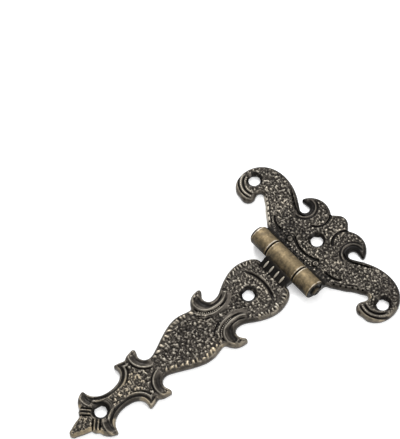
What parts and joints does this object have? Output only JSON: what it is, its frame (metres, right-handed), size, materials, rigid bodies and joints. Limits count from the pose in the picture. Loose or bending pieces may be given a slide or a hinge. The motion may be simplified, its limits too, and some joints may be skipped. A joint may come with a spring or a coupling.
{
  "type": "tee hinge",
  "caption": "Ornamental cast tee hinge: scrolled frame leaf and long scrolled strap joined by a knuckled barrel on a pin.",
  "frame": {"origin": "back (mounting) plane, centre of the frame leaf's middle screw hole", "axes": "+X along the hinge pin, +Y from the strap towards the crest of the frame leaf, +Z out of the ornament"},
  "size_m": [0.0954, 0.1524, 0.009],
  "materials": {
    "antique_bronze": "antique bronze on cast zinc, near black in the recesses, rubbed bright on the ridges",
    "pin_bronze": "bronze-plated steel, turned"
  },
  "bodies": {
    "frame": {"frame_leaf": "antique_bronze", "hinge_pin": "pin_bronze"},
    "strap": {"strap_leaf": "antique_bronze"}
  },
  "joints": [
    {"name": "strap_swing", "type": "hinge", "parent": "frame", "child": "strap", "pos_m": [0, -0.0177, 0.0045], "axis": [-1, 0, 0], "range_deg": [-90, 180]}
  ]
}
